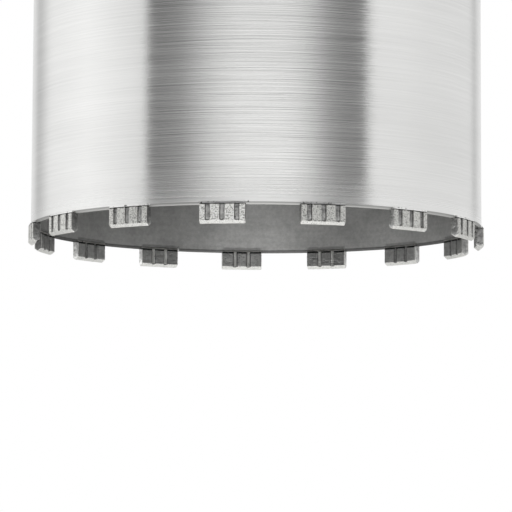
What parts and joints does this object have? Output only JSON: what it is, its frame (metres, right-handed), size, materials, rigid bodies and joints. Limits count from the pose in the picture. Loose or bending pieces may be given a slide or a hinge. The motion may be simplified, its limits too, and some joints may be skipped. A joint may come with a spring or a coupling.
{
  "type": "diamond core bit",
  "caption": "Wet diamond core bit: thin brushed-steel barrel open at the bottom, grooved sintered segments welded round its rim, and a threaded hexagon drive hub on a welded end plate.",
  "frame": {"origin": "middle of the cutting ring, at the level of the segments' cutting faces that it stands on", "axes": "+Z along the drilling axis towards the drive hub; -Y is the front, with segment_01 8 degrees to its left (-X)"},
  "size_m": [0.2536, 0.2539, 0.524],
  "materials": {
    "brushed_tube_steel": "bright steel tube, brushed round its circumference",
    "turned_steel": "face-turned steel",
    "hub_steel": "machined steel, satin",
    "weld_metal": "rippled weld metal with slight heat tint",
    "sintered_segment": "sintered metal with diamond grit, open grain, freshly dressed"
  },
  "bodies": {
    "root": {"barrel": "brushed_tube_steel", "end_plate": "turned_steel", "drive_hub": "hub_steel", "plate_weld": "weld_metal", "hub_weld": "weld_metal", "segment_welds": "weld_metal", "segment_01": "sintered_segment", "segment_02": "sintered_segment", "segment_03": "sintered_segment", "segment_04": "sintered_segment", "segment_05": "sintered_segment", "segment_06": "sintered_segment", "segment_07": "sintered_segment", "segment_08": "sintered_segment", "segment_09": "sintered_segment", "segment_10": "sintered_segment", "segment_11": "sintered_segment", "segment_12": "sintered_segment", "segment_13": "sintered_segment", "segment_14": "sintered_segment", "segment_15": "sintered_segment"}
  },
  "joints": []
}
